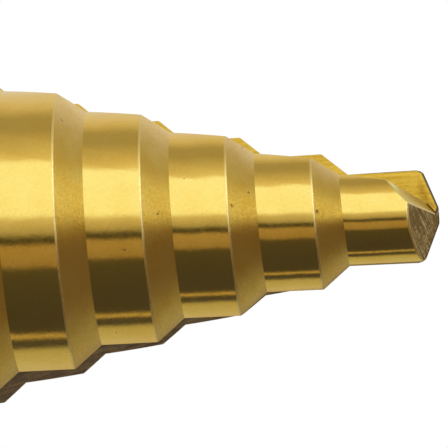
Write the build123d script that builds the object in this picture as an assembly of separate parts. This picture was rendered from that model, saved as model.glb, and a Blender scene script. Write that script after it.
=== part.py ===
from build123d import *
from build123d.topology import SkipClean
from math import tan, radians
import os

# Step drill for sheet metal, 4 to 32 mm in 2 mm steps, two straight flutes.
# Lengths in mm, angles in degrees. +Z runs along the drill's axis from the
# shank's flat end at z = 0 to the point. +X is the leading edge of one land.

# Shank
shank_diameter = 10.0
shank_length = 26.0
shank_end_radius = 0.8
flat_length = 18.0
flat_depth = 0.35
flat_count = 3

# Boss between the shank and the head
boss_diameter = 15.0
boss_length = 2.0
boss_taper = 2.0

# Steps
first_diameter = 4.0
diameter_increment = 2.0
step_count = 15
first_land = 2.9
land_length = 2.25
chamfer_run = 1.05
last_land = 3.6
back_bevel = 1.2
step_relief = 0.15

# Point: each lip lies a little ahead of the axis, which leaves a short chisel
# edge between the two
point_angle = 140.0
lip_ahead = 0.2
flank_angle = 27.0
gash_rise = 39.0
gash_lean = 36.0

# Flutes: a rake face along the axis and a floor square to it, deeper towards the point
flute_web = 0.45
flute_floor_angle = 14.5
flute_corner_radius = 0.35

# Derived values
first_radius = first_diameter / 2
step_rise = diameter_increment / 2
lip_drop = first_radius / tan(radians(point_angle / 2))
head_length = (lip_drop + first_land + (step_count - 1) * (chamfer_run + land_length)
               - land_length + last_land + back_bevel)
back_z = shank_length + boss_taper + boss_length
tip_z = back_z + head_length
last_radius = first_radius + (step_count - 1) * step_rise
floor_slope = tan(radians(flute_floor_angle))


def step_front(index):
    """Height of the front edge of a land at its cutting edge."""
    return tip_z - lip_drop - (0 if index == 0 else
                               first_land + index * chamfer_run + (index - 1) * land_length)


# One side of the head: a stack of cylinders, each topped by a chamfer cone set
# off the axis towards the cutting edge, so that the chamfer falls away behind it
chamfer_slope = chamfer_run / step_rise
relief_drop = 2 * step_relief * chamfer_slope


def upright(radius, low, high):
    """A cylinder on the axis from one height to another."""
    return Pos(0, 0, low) * Cylinder(radius, high - low,
                                     align=(Align.CENTER, Align.CENTER, Align.MIN))


def step_solid(index):
    """One land and the chamfer in front of it, reaching into the step behind."""
    radius = first_radius + index * step_rise
    front = step_front(index)
    behind = back_z
    if index < step_count - 1:
        behind = step_front(index + 1) - relief_drop - 0.2 * chamfer_run
    if index == 0:
        return upright(radius, behind, tip_z + 1)
    shoulder = front - relief_drop - 0.1 * chamfer_run
    top = front + 1.3 * chamfer_run
    cone_foot = radius - step_relief + (front - shoulder) / chamfer_slope
    cone_top = radius - step_relief + (front - top) / chamfer_slope
    cone = Pos(step_relief, 0, shoulder) * Cone(cone_foot, cone_top, top - shoulder,
                                                align=(Align.CENTER, Align.CENTER, Align.MIN))
    return upright(radius, behind, shoulder) + (upright(radius, shoulder, top) & cone)


side = step_solid(step_count - 1)
for index in range(step_count - 2, -1, -1):
    side = side + step_solid(index)

# The two sides meet on the lines of the two lips
big = 4 * last_radius
lip_half = Pos(0, lip_ahead, 0) * Box(big, big, 2 * head_length,
                                      align=(Align.MIN, Align.MAX, Align.CENTER))
heel_half = Pos(0, -lip_ahead, 0) * Box(big, big, 2 * head_length,
                                        align=(Align.MAX, Align.MAX, Align.CENTER))
side = side & (Pos(0, 0, back_z + head_length / 2) * (lip_half + heel_half))
head = side + Rot(0, 0, 180) * side

# Bevel at the back of the head
bevel_ring = upright(last_radius + back_bevel, back_z, back_z + back_bevel) - (
    Pos(0, 0, back_z) * Cone(last_radius - back_bevel, last_radius, back_bevel,
                             align=(Align.CENTER, Align.CENTER, Align.MIN)))
head = head - bevel_ring

# Flutes
reach = 3 * (tip_z - back_z)
cutter = Box(big, big, reach, align=(Align.MIN, Align.MIN, Align.CENTER))
inner_edge = cutter.edges().filter_by(Axis.Z).sort_by(lambda e: e.center().X + e.center().Y)[0]
cutter = fillet(inner_edge, flute_corner_radius)
cutter = Rot(0, -flute_floor_angle, 0) * cutter
cutter = Pos(flute_web, lip_ahead, tip_z - lip_drop) * cutter
head = head - cutter - Rot(0, 0, 180) * cutter

# Point: two flanks, then the two gashes that thin its middle
flank_plane = Plane(origin=(0, 0, tip_z),
                    x_dir=(1, 0, -1 / tan(radians(point_angle / 2))),
                    z_dir=(1 / tan(radians(point_angle / 2)), -tan(radians(flank_angle)), 1))
flank = flank_plane * Box(big, big, big, align=(Align.CENTER, Align.CENTER, Align.MIN))
head = head - flank - Rot(0, 0, 180) * flank

gash_plane = Plane(origin=(0, 0, tip_z),
                   x_dir=(1, 0, tan(radians(gash_rise))),
                   z_dir=(-tan(radians(gash_rise)), -tan(radians(gash_lean)), 1))
above = gash_plane * Box(6 * first_radius, 6 * first_radius, 6 * first_radius,
                         align=(Align.CENTER, Align.CENTER, Align.MIN))
ahead = Pos(0, -lip_ahead, tip_z) * Box(10 * first_radius, 10 * first_radius, 10 * first_radius,
                               align=(Align.CENTER, Align.MAX, Align.CENTER))
gash = above & ahead
head = head - gash - Rot(0, 0, 180) * gash

# Boss
boss = Pos(0, 0, shank_length) * (
    Cone(shank_diameter / 2, boss_diameter / 2, boss_taper,
         align=(Align.CENTER, Align.CENTER, Align.MIN))
    + upright(boss_diameter / 2, boss_taper, boss_taper + boss_length))

# Shank: a flatted length below a round one. The two are joined without
# merging their faces, so the round stretch keeps a face of its own
shank_radius = shank_diameter / 2
flatted = upright(shank_radius, 0, flat_length)
flatted = fillet(flatted.edges().sort_by(Axis.Z)[0], shank_end_radius)
for index in range(flat_count):
    slab = Pos(shank_radius - flat_depth, 0, 0) * Box(
        shank_radius, 2 * shank_diameter, 3 * flat_length,
        align=(Align.MIN, Align.CENTER, Align.CENTER))
    flatted = flatted - Rot(0, 0, 90 + 360 / flat_count * index) * slab
round_length = upright(shank_radius, flat_length, shank_length)

with SkipClean():
    drill = head + boss + round_length + flatted

os.makedirs("parts", exist_ok=True)
solid = drill.solids()[0] if len(drill.solids()) == 1 else drill
export_step(solid, "parts/step_drill.step")
print("solids", len(drill.solids()), "faces", len(drill.faces()),
      "length", round(tip_z, 3), "head", round(head_length, 3),
      "volume", round(drill.volume, 1), "valid", drill.is_valid)
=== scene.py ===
import math

import bmesh
import bpy
import numpy as np
from mathutils import Matrix, Vector


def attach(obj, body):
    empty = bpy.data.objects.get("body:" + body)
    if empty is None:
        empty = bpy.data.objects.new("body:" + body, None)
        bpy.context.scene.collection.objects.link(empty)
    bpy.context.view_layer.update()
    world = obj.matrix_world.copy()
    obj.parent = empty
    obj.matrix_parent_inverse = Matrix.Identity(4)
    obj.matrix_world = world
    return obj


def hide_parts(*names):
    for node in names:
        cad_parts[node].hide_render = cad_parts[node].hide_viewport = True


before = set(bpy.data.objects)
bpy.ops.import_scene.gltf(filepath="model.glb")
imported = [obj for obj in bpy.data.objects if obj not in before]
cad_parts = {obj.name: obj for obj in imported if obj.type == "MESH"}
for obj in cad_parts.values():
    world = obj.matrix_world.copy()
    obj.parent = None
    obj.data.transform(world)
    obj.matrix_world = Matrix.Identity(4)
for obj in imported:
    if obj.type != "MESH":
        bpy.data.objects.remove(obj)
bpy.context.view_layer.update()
mm = 0.001

# sizes in mm and angles in degrees, as the solid has them. Two more are only here: the rake face
# runs back to the middle over aheadRun, and the flanks are crowned by flankCrown
drillSizes = {
    "shankDiameter": 10.0,
    "shankLength": 26.0,
    "shankEndRadius": 0.8,
    "flatLength": 18.0,
    "flatDepth": 0.35,
    "flatCount": 3,
    "bossDiameter": 15.0,
    "bossLength": 2.0,
    "bossTaper": 2.0,
    "firstDiameter": 4.0,
    "diameterIncrement": 2.0,
    "stepCount": 15,
    "firstLand": 2.9,
    "landLength": 2.25,
    "chamferRun": 1.05,
    "lastLand": 3.6,
    "backBevel": 1.2,
    "stepRelief": 0.15,
    "pointAngle": 140.0,
    "lipAhead": 0.2,
    "aheadRun": 9.3,
    "flankAngle": 27.0,
    "flankCrown": 0.17,
    "gashRise": 39.0,
    "gashLean": 36.0,
    "fluteWeb": 0.45,
    "fluteFloorAngle": 14.5,
    "fluteCornerRadius": 0.35,
}
# how finely the surfaces are cut up, and in mm how far the ground edges are broken
drillMesh = {
    "columns": 150,
    "edgeColumn": 0.03,  # share of the way round that the outermost columns keep for themselves
    "firstRows": 6,
    "firstRowPower": 1.4,
    "rowsPerLand": 4,
    "rowsPerChamfer": 2,
    "cornerColumns": 8,
    "cornerRows": 4,  # rows over which the flute's inner corner grows to its radius
    "shankRows": 4,
    "shankEndRows": 6,
    "rimSamples": 4000,
    "rimMargin": 0.3,
    "solveRounds": 40,
    "edgeWidth": 0.042,
    "lipWidth": 0.095,
    "rimWidth": 0.075,
    "lipCornerBreak": 0.18,
    "edgeSegments": 3,
    "sharpAngle": 16.0,
    "widestAngle": 60.0,  # an edge that turns less than this gets no wider offset
    "weldWithin": 1e-7,
    "shortestEdge": 1e-8,
}
finishNames = ["land", "chamfer", "rake", "floor", "flank", "gash", "back", "shank", "edge"]


# slopes of the ground planes, and heights along the axis: the lip drops by the radius over
# tan(half the point angle), and each step adds a chamfer and a land
def headNumbers(s):
    n = {}
    n["r0"] = s["firstDiameter"] / 2
    n["rise"] = s["diameterIncrement"] / 2
    n["lipSlope"] = 1 / math.tan(math.radians(s["pointAngle"] / 2))
    n["flankSlope"] = math.tan(math.radians(s["flankAngle"]))
    n["chiselSlope"] = n["lipSlope"] / n["flankSlope"]
    n["gashU"] = math.tan(math.radians(s["gashRise"]))
    n["gashV"] = math.tan(math.radians(s["gashLean"]))
    n["floorSlope"] = math.tan(math.radians(s["fluteFloorAngle"]))
    n["lipDrop"] = n["r0"] * n["lipSlope"]
    n["pitch"] = s["chamferRun"] + s["landLength"]
    n["head"] = (n["lipDrop"] + s["firstLand"] + (s["stepCount"] - 1) * n["pitch"]
                 - s["landLength"] + s["lastLand"] + s["backBevel"])
    n["backZ"] = s["shankLength"] + s["bossTaper"] + s["bossLength"]
    n["tipZ"] = n["backZ"] + n["head"]
    return n


# height of one side's flank plane: it falls along the lip and away behind it
def flankTop(n, u, v):
    return n["flankSlope"] * v - n["lipSlope"] * u


# height of the gash's plane
def gashTop(n, u, v):
    return n["gashU"] * u + n["gashV"] * v


# height of the ground point above a place behind the lip: the lowest of the two flanks, which
# mirror each other in height, and beyond the chisel edge of the gash
def pointTop(s, n, u, v):
    gash = np.where(v < -s["lipAhead"], gashTop(n, u, v), 0)
    return np.minimum(-np.abs(flankTop(n, u, v)), gash)


# distance of the flute's floor from the axis: it shrinks evenly with the height above the
# lip's corner, by the floor's slope, and is the web there
def floorDepth(s, n, z):
    return s["fluteWeb"] - n["floorSlope"] * (z + n["lipDrop"])


# how far a chamfer has fallen at an angle behind its cutting edge: a cone set off the
# axis by the relief falls by relief times (1 - cos angle), times the chamfer's slope
def reliefDrop(s, angle):
    slope = s["chamferRun"] / (s["diameterIncrement"] / 2)
    return s["stepRelief"] * slope * (1 - np.cos(angle))


# how far ahead of the middle the rake face stands: ahead times (1 - depth below the lip's
# corner / run), and no less than nothing
def rakeAhead(s, heights):
    return s["lipAhead"] * (1 - np.clip((heights[1] - heights) / s["aheadRun"], 0, 1))


# rows of the head's outline, from the lip's corner down: radius, height at the cutting edge,
# share of the relief, and finish of the strip below. Each strip goes from one radius, height
# and share to the next in even steps t, and on the first land in steps of t to a power
def outlineRows(s, m, n):
    radius = n["r0"]
    front = -n["lipDrop"]
    rear = front - s["firstLand"]
    strips = [((radius, front, 1), (radius, rear, 1), m["firstRows"], "land")]
    for k in range(1, s["stepCount"]):
        last = k == s["stepCount"] - 1
        wider = n["r0"] + k * n["rise"]
        front = rear - s["chamferRun"]
        strips.append(((radius, rear, 1), (wider, front, 1), m["rowsPerChamfer"], "chamfer"))
        radius = wider
        rear = front - (s["lastLand"] if last else s["landLength"])
        strips.append(((radius, front, 1), (radius, rear, 0 if last else 1), m["rowsPerLand"], "land"))
    end = (radius - s["backBevel"], rear - s["backBevel"], 0)
    strips.append(((radius, rear, 0), end, 1, "back"))
    rows = []
    finishes = []
    for k, (start, stop, count, finish) in enumerate(strips):
        t = (np.arange(count) / count)[:, None] ** (m["firstRowPower"] if k == 0 else 1)
        rows.append(np.array(start) + (np.array(stop) - np.array(start)) * t)
        finishes += [finishNames.index(finish)] * count
    radii, heights, relief = np.concatenate(rows + [[end]]).T
    return radii, heights, relief, finishes


# angles round the rim behind the cutting edge: the heel, where the flute's floor cuts the
# point off, and the end of the flank, where the gash begins
def rimEnds(s, m, n):
    angles = np.linspace(m["rimMargin"], math.pi - m["rimMargin"], m["rimSamples"])
    u = n["r0"] * np.cos(angles)
    v = -n["r0"] * np.sin(angles)
    z = pointTop(s, n, u, v)
    heel = angles[np.argmax(u < -floorDepth(s, n, z))]
    gashCut = angles[np.argmax(z < flankTop(n, u, v))]
    return heel, gashCut


# one side's lands and chamfers as a grid: down the rows the stepped outline, across the
# columns the angle from the cutting edge back to the heel, where the flute's floor cuts it
# off. A place is (radius cos angle, -radius sin angle, height). Returns the grid and the
# column in which the gash meets the rim
def sideGrid(s, m, n, radii, heights, relief):
    heelRim, gashCut = rimEnds(s, m, n)
    # heel of each row: cos(angle) = -floor depth / radius at the dropped height
    heel = np.full(len(radii), math.pi / 2)
    for _ in range(m["solveRounds"]):
        z = heights - relief * reliefDrop(s, heel)
        heel = np.arccos(np.clip(-floorDepth(s, n, z) / radii, -1, 1))
    heel[0] = heelRim

    # each row starts on the rake face: sin(angle) = ahead / radius
    lead = -np.arcsin(rakeAhead(s, heights) / radii)
    # columns: even in angle, with one column moved onto the gash's end at the rim
    gashShare = (gashCut - lead[0]) / (heelRim - lead[0])
    gap = m["edgeColumn"]
    gashColumn = int(round(gashShare * m["columns"]))
    share = np.concatenate([[0], np.linspace(gap, gashShare - gap, gashColumn - 1), [gashShare],
                            np.linspace(gashShare + gap, 1 - gap, m["columns"] - gashColumn - 1), [1]])
    angle = lead[:, None] + (heel - lead)[:, None] * share[None, :]
    z = heights[:, None] - relief[:, None] * reliefDrop(s, angle)
    rim = pointTop(s, n, radii[0] * np.cos(angle[0]), -radii[0] * np.sin(angle[0]))
    # the flank is crowned: its rim stands above its plane by crown times sin(pi times the
    # share of the way from the lip to the gash)
    rim += s["flankCrown"] * np.sin(math.pi * np.minimum(share / gashShare, 1))
    # first land: the rows run from the rim down to the land's rear edge
    firstRows = m["firstRows"]
    fall = (heights[: firstRows + 1] - heights[0]) / (heights[firstRows] - heights[0])
    z[: firstRows + 1] = rim[None, :] + (z[firstRows] - rim)[None, :] * fall[:, None]
    for i in range(1, firstRows):
        # heel of these rows again, now that their heights have changed
        h = heel[i]
        for _ in range(m["solveRounds"]):
            zh = np.interp(h, angle[i], z[i])
            h = math.acos(max(-1.0, -floorDepth(s, n, zh) / radii[i]))
        angle[i] = lead[i] + (h - lead[i]) * share
    side = np.stack([radii[:, None] * np.cos(angle), -radii[:, None] * np.sin(angle), z], -1)
    # the lip's outer corner is ground off: its point moves inward along the lip
    side[0, 0] += np.array([-1, 0, n["lipSlope"]]) * m["lipCornerBreak"]
    return side, gashColumn


# inner corner of a flute, one arc for each row from the rake face round to the floor: centre
# (depth + radius, ahead + radius), place (centre - radius sin a, centre - radius cos a). The
# first lies where the other side's gash cuts the flute: the floor is at u = web - slope (z +
# lip drop) and the gash at z = -gashU u - gashV ahead, solved for u
def cornerGrid(s, m, n, heights):
    ahead = s["lipAhead"]
    topU = ((s["fluteWeb"] - n["floorSlope"] * (n["lipDrop"] - n["gashV"] * ahead))
            / (1 - n["floorSlope"] * n["gashU"]))
    z = np.concatenate([[gashTop(n, -topU, -ahead)], heights[1:]])
    arc = np.linspace(0, math.pi / 2, m["cornerColumns"])
    grown = np.clip(np.arange(len(heights)) / m["cornerRows"], 0, 1)
    radius = s["fluteCornerRadius"] * grown[:, None]
    u = floorDepth(s, n, z)[:, None] + radius * (1 - np.sin(arc))
    v = rakeAhead(s, heights)[:, None] + radius * (1 - np.cos(arc))
    return np.stack([u, v, np.broadcast_to(z[:, None], u.shape)], -1)


# two points of the split point's middle: the chisel edge's end, v = u times the chisel slope
# at v = -ahead, and the end of the gash's wall, where gash and flank planes are equally high
def middlePoints(s, n):
    v = -s["lipAhead"]
    chiselEnd = [v / n["chiselSlope"], v, 0.0]
    wallU = v * (n["flankSlope"] - n["gashV"]) / (n["gashU"] + n["lipSlope"])
    return np.array([chiselEnd, [wallU, v, gashTop(n, wallU, v)]])


# middles of the shank's flats, evenly round the shank
def flatMiddles(s):
    return math.pi / 2 + 2 * math.pi / s["flatCount"] * np.arange(s["flatCount"])


# angle between two directions, from -pi to pi
def angleApart(a, b):
    return (a - b + math.pi) % (2 * math.pi) - math.pi


# columns round the shank, evenly and clockwise seen from the point, with the nearest one moved
# onto each flat's edge: cos(half the flat's angle) = 1 - depth / radius
def shankAngles(s, m, around):
    theta = -2 * math.pi * (np.arange(around) - m["cornerColumns"] + 1) / around
    flatHalf = math.acos(1 - 2 * s["flatDepth"] / s["shankDiameter"])
    for edge in np.concatenate([flatMiddles(s) - flatHalf, flatMiddles(s) + flatHalf]):
        off = angleApart(theta, edge)
        nearest = int(np.argmin(np.abs(off)))
        theta[nearest] -= off[nearest]
    return theta


# rings of the boss and the shank, from the head's back down: a turned profile of radius and
# height, pressed in to the flats below their upper end. A flat's points lie at
# (radius - depth) / cos(angle from its middle)
def shankRings(s, m, n, theta):
    shankR = s["shankDiameter"] / 2
    turned = [(s["bossDiameter"] / 2, n["backZ"]),
              (s["bossDiameter"] / 2, s["shankLength"] + s["bossTaper"]),
              (shankR, s["shankLength"]),
              (shankR, (s["shankLength"] + s["flatLength"]) / 2),
              (shankR, s["flatLength"])]
    pressed = [(shankR, z) for z in np.linspace(s["flatLength"], s["shankEndRadius"], m["shankRows"] + 1)]
    for a in np.linspace(0, math.pi / 2, m["shankEndRows"] + 1)[1:]:
        pressed.append((shankR - s["shankEndRadius"] * (1 - math.cos(a)),
                        s["shankEndRadius"] * (1 - math.sin(a))))
    away = np.abs(angleApart(theta[None, :], flatMiddles(s)[:, None])).min(0)
    flatLimit = (shankR - s["flatDepth"]) / np.cos(away)
    rings = []
    for radius, height in turned + pressed:
        r = np.full(len(theta), radius)
        if len(rings) >= len(turned):
            r = np.minimum(r, flatLimit)
        rings.append(np.stack([r * np.cos(theta), r * np.sin(theta),
                               np.full(len(theta), height - n["tipZ"])], -1))
    return rings


# the whole drill as one closed mesh. Each side has a grid of lands and chamfers and a grid of
# its flute's inner corner; rake faces, floors, flanks and gashes are flat faces between them.
# The far side is the near side turned half round, and rings of the shank close the back
def buildDrill(s, m, n):
    radii, heights, relief, finishes = outlineRows(s, m, n)
    side, gashColumn = sideGrid(s, m, n, radii, heights, relief)
    corner = cornerGrid(s, m, n, heights)
    half = np.concatenate([side.reshape(-1, 3), corner.reshape(-1, 3), middlePoints(s, n)])
    halfTurn = np.array([-1.0, -1.0, 1.0])
    count = len(half)
    grid = np.arange(side.shape[0] * side.shape[1]).reshape(side.shape[:2])
    arcs = grid.size + np.arange(corner.shape[0] * corner.shape[1]).reshape(corner.shape[:2])
    chisel, wall = count - 2, count - 1
    faces = []
    kinds = []

    # quads between two rows of vertex numbers, row a above row b
    def addGrid(a, b, finish):
        quads = np.stack([a[:-1], b[:-1], b[1:], a[1:]], -1)
        faces.extend(quads.tolist())
        kinds.extend([finish] * len(quads))

    def addFace(ring, finish):
        faces.append([int(q) for q in ring])
        kinds.append(finish)

    rake, floor, flank, gash, back, shank = (finishNames.index(name) for name in
                                             ("rake", "floor", "flank", "gash", "back", "shank"))
    for own, other in ((0, count), (count, 0)):
        land = own + grid
        ownArc = own + arcs
        otherArc = other + arcs
        for i in range(len(radii) - 1):
            addGrid(land[i + 1], land[i], finishes[i])
            start = [other + wall, other + chisel] if i == 0 else []
            addFace(start + [land[i, 0], land[i + 1, 0], ownArc[i + 1, 0], ownArc[i, 0]], rake)
            addFace([land[i, -1], otherArc[i, -1], otherArc[i + 1, -1], land[i + 1, -1]], floor)
            addGrid(ownArc[i], ownArc[i + 1], floor)
        addFace([own + wall, own + chisel, other + chisel] + land[0, : gashColumn + 1].tolist(), flank)
        addFace([own + wall] + land[0, gashColumn:].tolist() + [otherArc[0, 0]], gash)

    # outline of the head's back, once round clockwise seen from the point, then the shank's rings
    lastArc = arcs[-1][::-1]
    outline = np.concatenate([lastArc, grid[-1], count + lastArc, count + grid[-1]])
    around = len(outline)
    lower = shankRings(s, m, n, shankAngles(s, m, around))
    rings = [outline] + [2 * count + i * around + np.arange(around) for i in range(len(lower))]
    for i in range(len(lower)):
        addGrid(np.append(rings[i + 1], rings[i + 1][0]), np.append(rings[i], rings[i][0]),
                back if i == 0 else shank)
    addFace(rings[-1][::-1], shank)

    verts = (np.concatenate([half, half * halfTurn] + lower) + np.array([0, 0, n["tipZ"]])) * mm
    mesh = bpy.data.meshes.new("stepDrillBody")
    mesh.from_pydata(verts.tolist(), [], faces)
    mesh.polygons.foreach_set("material_index", np.array(kinds, dtype=np.int32))
    mesh.update()
    return mesh


# puts the mesh in an object, closes its seams, and breaks every ground edge by a hair
# with a bevel that has a finish of its own
def makeDrill(s, m, n, finishes):
    mesh = buildDrill(s, m, n)
    for name in finishNames:
        mesh.materials.append(finishes[name])
    work = bmesh.new()
    work.from_mesh(mesh)
    bmesh.ops.remove_doubles(work, verts=work.verts, dist=m["weldWithin"])
    bmesh.ops.dissolve_degenerate(work, edges=work.edges, dist=m["shortestEdge"])
    bmesh.ops.recalc_face_normals(work, faces=work.faces)
    openEdges = sum(1 for e in work.edges if not e.is_manifold)
    print("drill mesh:", len(work.verts), "points,", openEdges, "open edges")
    # each sharp outer edge gets a facet of one width: the bevel's offset is width / (2 sin(half
    # turn)). The lips and the rim behind them are broken more, and inner corners stay sharp
    sharp = math.radians(m["sharpAngle"])
    widestFacet = max(m["edgeWidth"], m["lipWidth"], m["rimWidth"])
    widest = widestFacet / (2 * math.sin(math.radians(m["widestAngle"] / 2)))
    weight = work.edges.layers.float.new("bevel_weight_edge")
    for e in work.edges:
        turn = e.calc_face_angle_signed(0)
        if abs(turn) < sharp:
            continue
        e.smooth = False
        beside = {finishNames[f.material_index] for f in e.link_faces}
        if beside == {"land"} or (turn < 0 and beside <= {"land", "chamfer"}):
            continue
        facet = m["edgeWidth"]
        if beside == {"rake", "flank"}:
            facet = m["lipWidth"]
        elif beside == {"land", "flank"}:
            facet = m["rimWidth"]
        e[weight] = min(1.0, facet / (2 * math.sin(abs(turn) / 2)) / widest)
    for f in work.faces:
        f.smooth = True
    work.to_mesh(mesh)
    work.free()
    piece = bpy.data.objects.new("drillBody", mesh)
    bpy.context.scene.collection.objects.link(piece)
    bevel = piece.modifiers.new("brokenEdges", "BEVEL")
    bevel.limit_method = "WEIGHT"
    bevel.width = widest * mm
    bevel.segments = m["edgeSegments"]
    bevel.use_clamp_overlap = False
    bevel.harden_normals = True
    bevel.material = finishNames.index("edge")
    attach(piece, "root")
    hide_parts("step_drill")


# colours of the coating, with a dark one for the painted shade along the cutting edges and a pale one for the
# broken edges, partly rubbed and partly painted highlight; how far in mm the painted shade reaches beside an
# edge and on it, how much of the pale colour the broken edges show, and between which values of the noise
# clouds and specks grow
coatLook = {
    "gold": (0.86, 0.56, 0.105),
    "orange": (0.80, 0.46, 0.055),
    # pale edge colour: partly rubbed coating, partly a painted highlight that stands in for the glints on the
    # broken edges
    "wornAndSheen": (0.92, 0.68, 0.24),
    "pit": (0.22, 0.13, 0.05),
    # dark colour of the painted shade along the cutting edges, how far it reaches on a face and on an edge
    # facet
    "paintedShade": (0.10, 0.06, 0.025),
    "paintedShadeReach": (0.13, 0.08),
    "paintedShadeFacet": (0.060, 0.035),
    "wornAndSheenShare": 0.5,
    "cloudRange": (0.30, 0.70),
    "speckRange": (0.34, 0.66),
}
# noises of the finishes: scale per mm, detail and roughness
noiseLook = {
    "lines": (3.0, 3.0, 0.6),
    "grain": (9.0, 3.0, 0.65),
    "slow": (1.1, 3.0, 0.55),
    "streaks": (1.3, 3.0, 0.6),
    "streakGrain": (8.0, 3.0, 0.6),
    "patches": (1.6, 2.0, 0.5),
}
# what share each noise has in the tint of a face that was ground straight
streakShares = {"streaks": 0.50, "streakGrain": 0.30, "patches": 0.20}
# grinding lines run along the arc: how fast their noise changes along it and along the axis
lineStretch = {"arc": 0.15, "axis": 4.0}
# pits: cells per mm, share of the cells that may hold one, how torn their rims are, where in
# its cell a pit begins and is full, and depth in mm
pitLook = {"scale": 2.6, "share": 0.12, "tornScale": 6.0, "torn": 0.35, "rim": (0.22, 0.02), "depth": 0.01}
# turned faces: roughness; depth of the grinding lines, of the grain and of the slow waves, in
# mm; how far the tint wanders; how dark the specks are; how many pits
finishLook = {
    "land": {"rough": 0.12, "lines": 0.0005, "grain": 0.0006, "waves": 0.005, "wander": 0.40, "speck": 0.06,
             "pits": 0.15},
    "chamfer": {"rough": 0.21, "lines": 0.0022, "grain": 0.0019, "waves": 0.004, "wander": 0.80,
                "speck": 0.11, "pits": 0.60},
    "back": {"rough": 0.30, "lines": 0.0030, "grain": 0.0040, "waves": 0.003, "wander": 0.70, "speck": 0.20,
             "pits": 0.30},
    "shank": {"rough": 0.22, "lines": 0.0020, "grain": 0.0015, "waves": 0.003, "wander": 0.50, "speck": 0.12,
              "pits": 0.20},
    "edge": {"rough": 0.34, "lines": 0.0, "grain": 0.0006, "waves": 0.0, "wander": 0.20, "speck": 0.05,
             "pits": 0.0},
}


# makes a node, sets or links its inputs, and returns it
def addNode(tree, kind, inputs=None, **settings):
    node = tree.nodes.new(kind)
    for key, value in settings.items():
        setattr(node, key, value)
    for key, value in (inputs or {}).items():
        if isinstance(value, bpy.types.NodeSocket):
            tree.links.new(value, node.inputs[key])
        else:
            node.inputs[key].default_value = value
    return node


def calc(tree, operation, a, b=0.0, c=0.0):
    return addNode(tree, "ShaderNodeMath", {0: a, 1: b, 2: c}, operation=operation).outputs[0]


def dot(tree, place, direction):
    node = addNode(tree, "ShaderNodeVectorMath", {0: place, 1: direction}, operation="DOT_PRODUCT")
    return node.outputs["Value"]


def mixColour(tree, share, a, b, blend="MIX"):
    node = addNode(tree, "ShaderNodeMix", {0: share, 6: a, 7: b}, data_type="RGBA", blend_type=blend)
    return node.outputs[2]


def noise(tree, place, scale, detail, roughness):
    return addNode(tree, "ShaderNodeTexNoise", {"Vector": place, "Scale": scale, "Detail": detail,
                                                "Roughness": roughness}).outputs["Fac"]


# share of the way from one value to another, held between 0 and 1
def stretch(tree, value, low, high):
    return addNode(tree, "ShaderNodeMapRange", {"Value": value, "From Min": low, "From Max": high}).outputs[0]


# a ramp through stops, each a place from 0 to 1 and a grey or a colour
def colourRamp(tree, share, stops):
    node = addNode(tree, "ShaderNodeValToRGB", {"Fac": share})
    ramp = node.color_ramp
    while len(ramp.elements) < len(stops):
        ramp.elements.new(0.5)
    for element, (at, colour) in zip(ramp.elements, stops):
        element.position = at
        element.color = (*colour, 1) if isinstance(colour, tuple) else (colour, colour, colour, 1)
    return node.outputs["Color"]


# a metal with its place in mm, as a point and as x, y and z
def startMetal(name):
    mat = bpy.data.materials.new(name)
    mat.use_nodes = True
    tree = mat.node_tree
    shader = tree.nodes["Principled BSDF"]
    shader.inputs["Metallic"].default_value = 1.0
    place = addNode(tree, "ShaderNodeTexCoord").outputs["Object"]
    inMm = addNode(tree, "ShaderNodeVectorMath", {0: place, "Scale": 1 / mm}, operation="SCALE").outputs[0]
    parts = addNode(tree, "ShaderNodeSeparateXYZ", {0: inMm})
    return mat, tree, shader, inMm, (parts.outputs[0], parts.outputs[1], parts.outputs[2])


# tiny round pits: 1 inside a cell's middle, for the few cells whose own number is low. Their
# rims are torn by noise that moves the place
def pitMask(tree, look, inMm, pits):
    torn = addNode(tree, "ShaderNodeTexNoise", {"Vector": inMm, "Scale": look["tornScale"]}).outputs["Color"]
    bent = addNode(tree, "ShaderNodeVectorMath", {0: torn, "Scale": look["torn"]}, operation="SCALE")
    moved = addNode(tree, "ShaderNodeVectorMath", {0: inMm, 1: bent.outputs[0]}, operation="ADD")
    cells = addNode(tree, "ShaderNodeTexVoronoi", {"Vector": moved.outputs[0], "Scale": look["scale"]})
    near = stretch(tree, cells.outputs["Distance"], *look["rim"])
    pick = addNode(tree, "ShaderNodeSeparateColor", {0: cells.outputs["Color"]}).outputs[0]
    chosen = calc(tree, "LESS_THAN", pick, look["share"] * pits)
    return calc(tree, "MULTIPLY", near, chosen)


# heights in mm, added up and turned into a bump on the shader
def setBump(tree, shader, heights):
    total = heights[0]
    for h in heights[1:]:
        total = calc(tree, "ADD", total, h)
    inMetres = calc(tree, "MULTIPLY", total, mm)
    bump = addNode(tree, "ShaderNodeBump", {"Height": inMetres, "Strength": 1.0, "Distance": 1.0})
    tree.links.new(bump.outputs[0], shader.inputs["Normal"])


# 1 on the broken edges of the lips and the leading edges. They lie in one plane, ahead of the
# middle, as y = ahead on this side. A lip passes the middle, so within three times that
# distance both halves of the plane count
# this mask places the painted shade, a dark line on these broken edges
def cuttingMask(tree, look, s, n, x, y, far):
    half = calc(tree, "SIGN", calc(tree, "SUBTRACT", calc(tree, "MULTIPLY", x, n["chiselSlope"]), y))
    leading = calc(tree, "GREATER_THAN", calc(tree, "MULTIPLY", y, half), 0)
    inner = calc(tree, "LESS_THAN", far, 3 * s["lipAhead"])
    beside = calc(tree, "SUBTRACT", calc(tree, "ABSOLUTE", y), s["lipAhead"])
    cutting = stretch(tree, calc(tree, "ABSOLUTE", beside), *look["paintedShadeFacet"])
    return calc(tree, "MULTIPLY", cutting, calc(tree, "MAXIMUM", leading, inner))


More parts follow.
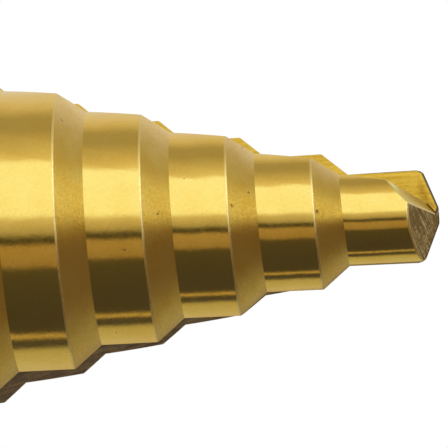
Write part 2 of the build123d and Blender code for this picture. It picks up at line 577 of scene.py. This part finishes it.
# a ground round surface: grinding lines run round the axis, so their noise goes fast along z
# and slowly along the arc, which is radius times angle
def turnedFinish(name, look, kind, s, n):
    mat, tree, shader, inMm, (x, y, z) = startMetal(name)
    far = calc(tree, "SQRT", calc(tree, "MULTIPLY_ADD", x, x, calc(tree, "MULTIPLY", y, y)))
    arc = calc(tree, "MULTIPLY", calc(tree, "ARCTAN2", y, x), far)
    slowArc = calc(tree, "MULTIPLY", arc, lineStretch["arc"])
    fastZ = calc(tree, "MULTIPLY", z, lineStretch["axis"])
    rolled = addNode(tree, "ShaderNodeCombineXYZ", {0: slowArc, 1: fastZ}).outputs[0]
    lines = noise(tree, rolled, *noiseLook["lines"])
    grain = noise(tree, inMm, *noiseLook["grain"])
    slow = noise(tree, inMm, *noiseLook["slow"])
    cloud = stretch(tree, slow, *look["cloudRange"])
    speck = stretch(tree, grain, *look["speckRange"])
    strayed = calc(tree, "MULTIPLY", cloud, kind["wander"])
    tint = mixColour(tree, strayed, (*look["gold"], 1), (*look["orange"], 1))
    # specks darken, and the rest is a little lighter to make up for it
    shade = calc(tree, "MULTIPLY_ADD", speck, -kind["speck"], 1.0 + 0.4 * kind["speck"])
    grey = addNode(tree, "ShaderNodeCombineColor", {0: shade, 1: shade, 2: shade}).outputs[0]
    tint = mixColour(tree, 1.0, tint, grey, "MULTIPLY")
    pits = pitMask(tree, pitLook, inMm, kind["pits"])
    tint = mixColour(tree, pits, tint, (*look["pit"], 1))
    if kind is finishLook["edge"]:
        # edges are rubbed pale and made paler still as a painted highlight, and the cutting ones get a dark
        # line of painted shade
        tint = mixColour(tree, look["wornAndSheenShare"], tint, (*look["wornAndSheen"], 1))
        cutting = cuttingMask(tree, look, s, n, x, y, far)
        tint = mixColour(tree, cutting, tint, (*look["paintedShade"], 1))
    tree.links.new(tint, shader.inputs["Base Color"])
    # roughness goes from 0.75 to 1.25 times its value, where the specks are
    rough = calc(tree, "MULTIPLY_ADD", speck, 0.5 * kind["rough"], 0.75 * kind["rough"])
    tree.links.new(rough, shader.inputs["Roughness"])
    setBump(tree, shader, [calc(tree, "MULTIPLY", lines, kind["lines"]),
                           calc(tree, "MULTIPLY", grain, kind["grain"]),
                           calc(tree, "MULTIPLY", slow, kind["waves"]),
                           calc(tree, "MULTIPLY", pits, -pitLook["depth"])])
    return mat


# a face that a wheel has ground straight along a direction: streaks are noise that goes fast
# across that direction and slowly along it. A dark line of painted shade follows the lip, and on
# the flank the chisel edge too. The far side's twin of the face is turned half round onto this one
def streakedFinish(name, look, kind, s, n):
    mat, tree, shader, inMm, (x, y, z) = startMetal(name)
    parting = {"chisel": (n["chiselSlope"], -1), "rake": (0, 1), "floor": (1, 0)}[kind["side"]]
    apart = calc(tree, "MULTIPLY_ADD", x, parting[0], calc(tree, "MULTIPLY", y, parting[1]))
    half = calc(tree, "SIGN", apart)
    u = calc(tree, "MULTIPLY", x, half)
    v = calc(tree, "MULTIPLY", y, half)
    own = addNode(tree, "ShaderNodeCombineXYZ", {0: u, 1: v, 2: z}).outputs[0]
    along = dot(tree, own, kind["along"])
    across = dot(tree, own, kind["across"])
    drawn = addNode(tree, "ShaderNodeCombineXYZ", {0: calc(tree, "MULTIPLY", along, kind["slow"]),
                                                   1: calc(tree, "MULTIPLY", across, kind["fast"])})
    streaks = noise(tree, drawn.outputs[0], *noiseLook["streaks"])
    grain = noise(tree, inMm, *noiseLook["streakGrain"])
    patches = noise(tree, inMm, *noiseLook["patches"])
    level = calc(tree, "MULTIPLY", streaks, streakShares["streaks"])
    level = calc(tree, "MULTIPLY_ADD", grain, streakShares["streakGrain"], level)
    level = calc(tree, "MULTIPLY_ADD", patches, streakShares["patches"], level)
    tint = mixColour(tree, stretch(tree, level, *kind["share"]), (*kind["dark"], 1), (*kind["bright"], 1))
    if kind["paintedShade"]:
        # painted shade: a dark line under the lip, which is the line z = flankSlope ahead - lipSlope u on the
        # rake face, and beside it and the chisel edge, lipSlope u = flankSlope v, on the flank
        lowered = calc(tree, "MULTIPLY_ADD", u, -n["lipSlope"], n["flankSlope"] * s["lipAhead"] + n["tipZ"])
        under = calc(tree, "SUBTRACT", lowered, z)
        behind = calc(tree, "SUBTRACT", s["lipAhead"], v)
        below = calc(tree, "MULTIPLY_ADD", u, n["lipSlope"], calc(tree, "MULTIPLY", v, -n["flankSlope"]))
        beyond = calc(tree, "MULTIPLY", below, 1 / math.hypot(n["lipSlope"], n["flankSlope"]))
        away = under if kind["paintedShade"] == "lip" else calc(tree, "MINIMUM", behind, beyond)
        tint = mixColour(tree, stretch(tree, away, *look["paintedShadeReach"]), tint, (*look["paintedShade"], 1))
    tree.links.new(tint, shader.inputs["Base Color"])
    # roughness goes from 0.8 to 1.2 times its value with the grain
    rough = calc(tree, "MULTIPLY_ADD", grain, 0.4 * kind["rough"], 0.8 * kind["rough"])
    tree.links.new(rough, shader.inputs["Roughness"])
    setBump(tree, shader, [calc(tree, "MULTIPLY", streaks, kind["depth"]),
                           calc(tree, "MULTIPLY", grain, 0.4 * kind["depth"])])
    return mat


# faces ground straight: colours, direction of the streaks and across them, how fast they change
# each way, how much of the noise is bright, roughness, depth in mm, the plane that parts the
# face from its twin, and where the dark line of painted shade lies
streakLook = {
    "rake": {"dark": (0.48, 0.235, 0.010), "bright": (0.80, 0.47, 0.050), "along": (0, 0, 1),
             "across": (1, 0, 0), "slow": 0.35, "fast": 7.0, "share": (0.32, 0.66), "rough": 0.34,
             "depth": 0.004, "side": "rake", "paintedShade": "lip"},
    # the flute's floor is coloured much darker than the coat: painted shade of the flute's recess beside the
    # rake face and land
    "floor": {"dark": (0.085, 0.042, 0.012), "bright": (0.40, 0.24, 0.070), "along": (0.25, 0, 0.97),
              "across": (0, 1, 0), "slow": 0.35, "fast": 7.0, "share": (0.40, 0.68), "rough": 0.36,
              "depth": 0.006, "side": "floor", "paintedShade": ""},
    "flank": {"dark": (0.40, 0.245, 0.056), "bright": (1.0, 0.80, 0.34), "along": (0.43, 0.86, 0.28),
              "across": (0.85, -0.28, -0.45), "slow": 0.50, "fast": 12.0, "share": (0.49, 0.60),
              "rough": 0.22, "depth": 0.014, "side": "chisel", "paintedShade": "chisel"},
    "gash": {"dark": (0.74, 0.58, 0.07), "bright": (0.98, 0.80, 0.14), "along": (0.7, -0.2, 0.7),
             "across": (0.2, 0.95, 0.2), "slow": 0.35, "fast": 7.0, "share": (0.35, 0.65), "rough": 0.30,
             "depth": 0.004, "side": "chisel", "paintedShade": ""},
}

drillNumbers = headNumbers(drillSizes)
finishes = {}
for name, kind in finishLook.items():
    finishes[name] = turnedFinish("coat" + name.capitalize(), coatLook, kind, drillSizes, drillNumbers)
for name, kind in streakLook.items():
    finishes[name] = streakedFinish("coat" + name.capitalize(), coatLook, kind, drillSizes, drillNumbers)
print("finishes made:", len(finishes))
makeDrill(drillSizes, drillMesh, drillNumbers, finishes)
print("drill made")

# the picture is 448 by 448 pixels: in it the place of the drill's point, its scale, its axis'
# angles in degrees, and how far in mm the eye is from the point
viewSizes = {
    "frame": 448,
    "pointX": 439.53,
    "pointY": 215.34,
    "axisRise": 3.03,
    "towards": 5.30,
    "landTurn": 62.5,
    "pixelsPerMm": 25.09,
    "distance": 195.7,
    "clip": (0.005, 20),
}


# the axis lies across the picture, rising by axisRise and leaning towards the eye, and
# the cutting edge points landTurn below the line of sight. The point of the drill is put
# at its pixel by moving the eye in the plane of the picture
def placeCamera(v, n):
    t = math.radians(v["towards"])
    rise = math.radians(v["axisRise"])
    turnBy = math.radians(v["landTurn"])
    axis = Vector((math.cos(t) * math.cos(rise), math.cos(t) * math.sin(rise), math.sin(t)))
    upward = Vector((-math.sin(rise), math.cos(rise), 0))
    facing = axis.cross(upward)
    worldAxis = Vector((0, 0, 1))
    worldFacing = Vector((math.cos(turnBy), -math.sin(turnBy), 0))
    worldUpward = Vector((-math.sin(turnBy), -math.cos(turnBy), 0))
    basis = [worldAxis * axis[i] + worldUpward * upward[i] + worldFacing * facing[i] for i in range(3)]
    half = v["frame"] / 2
    offset = ((v["pointX"] - half) / v["pixelsPerMm"], (half - v["pointY"]) / v["pixelsPerMm"])
    point = Vector((0, 0, n["tipZ"] * mm))
    eye = point - basis[0] * (offset[0] * mm) - basis[1] * (offset[1] * mm) + basis[2] * (v["distance"] * mm)
    data = bpy.data.cameras.new("view")
    data.sensor_width = 36.0
    data.lens = data.sensor_width * v["pixelsPerMm"] * v["distance"] / v["frame"]
    data.clip_start, data.clip_end = v["clip"]
    camera = bpy.data.objects.new("view", data)
    bpy.context.scene.collection.objects.link(camera)
    turnMatrix = Matrix((basis[0], basis[1], basis[2])).transposed()
    camera.matrix_world = Matrix.Translation(eye) @ turnMatrix.to_4x4()
    bpy.context.scene.camera = camera


placeCamera(viewSizes, drillNumbers)

# brightness of the light tent round the drill, by the angle in degrees from the line of
# sight towards the upper side: level, overhead, and a lamp half way up that only the broken
# edges show. Heights are the upward share of the direction
tentLook = {
    "side": [(-180, 0.30), (-160, 0.14), (-128, 0.20), (-124, (0.66, 0.68, 0.85)), (-112, (0.58, 0.62, 0.64)),
             (-98, (0.50, 0.52, 0.48)), (-95.5, 0.30), (-93.5, (0.072, 0.076, 0.12)),
             (-85.5, (0.072, 0.076, 0.12)), (-84, (0.58, 0.50, 0.36)), (-81, (0.57, 0.49, 0.35)),
             (-79.5, (0.070, 0.072, 0.10)), (-55, (0.074, 0.074, 0.095)), (-25, (0.090, 0.088, 0.088)),
             (-22, (0.36, 0.29, 0.22)), (-7, (0.45, 0.37, 0.28)), (-5, 0.07), (-1, 0.06), (3, 0.48),
             (13, 0.74), (17, (1.18, 1.40, 1.95)), (59.5, (1.20, 1.46, 2.20)), (62, 0.88), (72, 0.68),
             (90, 0.44), (104, 0.44), (118, 0.72), (129, (0.80, 0.82, 0.95)), (165, (0.80, 0.86, 0.86)),
             (180, 0.35)],
    "top": [(-180, (0.24, 0.20, 0.14)), (-156, (0.21, 0.18, 0.13)), (-146, (0.48, 0.51, 0.59)),
            (-128, (0.37, 0.38, 0.38)), (-112, (0.245, 0.235, 0.25)), (-100, (0.165, 0.135, 0.14)),
            (-50, (0.165, 0.127, 0.125)), (5, (0.18, 0.138, 0.13)), (34, (0.27, 0.215, 0.18)),
            (50, (0.82, 0.82, 0.62)), (72, (0.90, 0.94, 0.90)), (92, (0.84, 0.90, 0.92)),
            (104, (0.50, 0.50, 0.46)), (118, (0.47, 0.49, 0.54)), (135, (0.58, 0.62, 0.95)),
            (155, (0.74, 0.80, 1.3)), (180, 0.35)],
    "glint": [(-180, 0.0), (0, 0.0), (12, (1.7, 2.0, 3.0)), (60, (1.7, 2.0, 3.0)), (72, 0.0), (180, 0.0)],
    "topStarts": (0.25, 0.55),
    "glintStarts": (0.40, 0.48),
    "glintEnds": (0.74, 0.66),
}


# The eye sees plain white all round. The drill sees a tent: brightness is a ramp of the angle
# round the upright axis, one for level directions, one that takes over overhead, and one for
# the lamp, added where the height is between its start and its end
def makeTent(look, v):
    turnBy = math.radians(v["landTurn"])
    facing = (math.cos(turnBy), -math.sin(turnBy), 0)
    upward = (-math.sin(turnBy), -math.cos(turnBy), 0)
    world = bpy.data.worlds.new("studio")
    world.use_nodes = True
    bpy.context.scene.world = world
    tree = world.node_tree
    tree.nodes.clear()
    towards = addNode(tree, "ShaderNodeTexCoord").outputs["Generated"]
    alongSight = dot(tree, towards, facing)
    alongUp = dot(tree, towards, upward)
    height = addNode(tree, "ShaderNodeSeparateXYZ", {0: towards}).outputs[2]
    share = calc(tree, "MULTIPLY_ADD", calc(tree, "ARCTAN2", alongUp, alongSight), 1 / (2 * math.pi), 0.5)
    ramps = {}
    for name in ("side", "top", "glint"):
        stops = [((angle + 180) / 360, colour) for angle, colour in look[name]]
        ramps[name] = colourRamp(tree, share, stops)
    tent = mixColour(tree, stretch(tree, height, *look["topStarts"]), ramps["side"], ramps["top"])
    lampBand = calc(tree, "MULTIPLY", stretch(tree, height, *look["glintStarts"]),
                    stretch(tree, height, *look["glintEnds"]))
    tent = mixColour(tree, lampBand, tent, ramps["glint"], "ADD")
    tent = addNode(tree, "ShaderNodeBackground", {"Color": tent, "Strength": 1.0})
    white = addNode(tree, "ShaderNodeBackground", {"Color": (1, 1, 1, 1), "Strength": 1.0})
    seen = addNode(tree, "ShaderNodeLightPath").outputs["Is Camera Ray"]
    shader = addNode(tree, "ShaderNodeMixShader", {0: seen, 1: tent.outputs[0], 2: white.outputs[0]})
    addNode(tree, "ShaderNodeOutputWorld", {0: shader.outputs[0]})


# radius in mm, number of sides, paper, and how brightly it glows to the eye
floorLook = {"radius": 300.0, "sides": 96, "colour": (0.9, 0.9, 0.9), "rough": 0.9, "glow": 0.62}


# a plain disc of white paper, radius (cos t, sin t), that glows to the eye up to the
# backdrop's white and still shows the drill's shadow. The tent, not the floor, is what the
# drill mirrors
def makeFloor(look):
    radius = look["radius"] * mm
    t = np.linspace(0, 2 * math.pi, look["sides"], endpoint=False)
    verts = np.stack([radius * np.cos(t), radius * np.sin(t), np.zeros_like(t)], -1)
    mesh = bpy.data.meshes.new("floor")
    mesh.from_pydata(verts.tolist(), [], [list(range(len(t)))])
    floor = bpy.data.objects.new("floor", mesh)
    bpy.context.scene.collection.objects.link(floor)
    mat = bpy.data.materials.new("floorPaper")
    mat.use_nodes = True
    shader = mat.node_tree.nodes["Principled BSDF"]
    shader.inputs["Base Color"].default_value = (*look["colour"], 1)
    shader.inputs["Roughness"].default_value = look["rough"]
    shader.inputs["Emission Color"].default_value = (1, 1, 1, 1)
    seen = addNode(mat.node_tree, "ShaderNodeLightPath").outputs["Is Camera Ray"]
    glow = calc(mat.node_tree, "MULTIPLY", seen, look["glow"])
    mat.node_tree.links.new(glow, shader.inputs["Emission Strength"])
    mesh.materials.append(mat)
    floor.visible_glossy = False


makeTent(tentLook, viewSizes)
makeFloor(floorLook)
print("studio made")

bpy.context.scene.view_settings.view_transform = "Standard"
